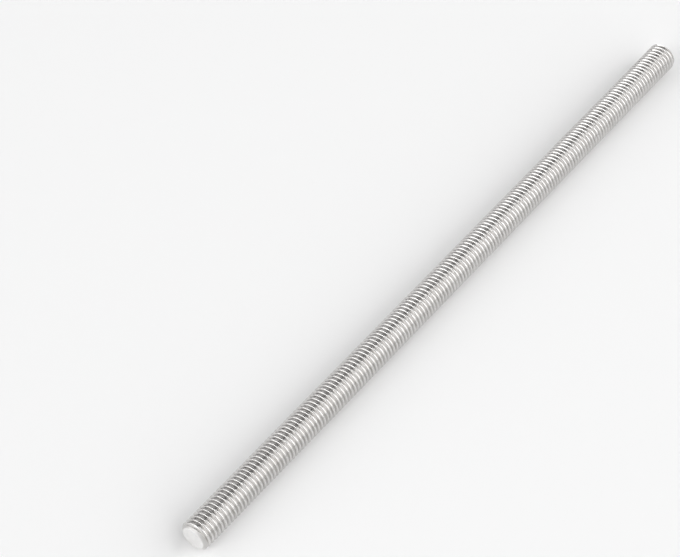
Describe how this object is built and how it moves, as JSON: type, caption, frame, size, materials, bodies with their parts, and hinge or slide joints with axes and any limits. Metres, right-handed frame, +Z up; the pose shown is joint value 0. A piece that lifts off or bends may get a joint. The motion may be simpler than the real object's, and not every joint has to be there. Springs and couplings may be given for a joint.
{
  "type": "threaded rod",
  "caption": "Straight steel rod with a right-hand metric thread along its whole length and a small chamfer at each end, for joining, hanging or clamping parts with nuts.",
  "frame": {"origin": "on the rod's axis at mid-length", "axes": "+X along the rod's axis, +Z up when it lies on a surface"},
  "size_m": [0.25, 0.01, 0.01],
  "materials": {
    "stainless_steel": "bright rolled stainless steel, smooth crests and flanks, turned end faces"
  },
  "bodies": {
    "root": {"threaded_rod": "stainless_steel"}
  },
  "joints": []
}
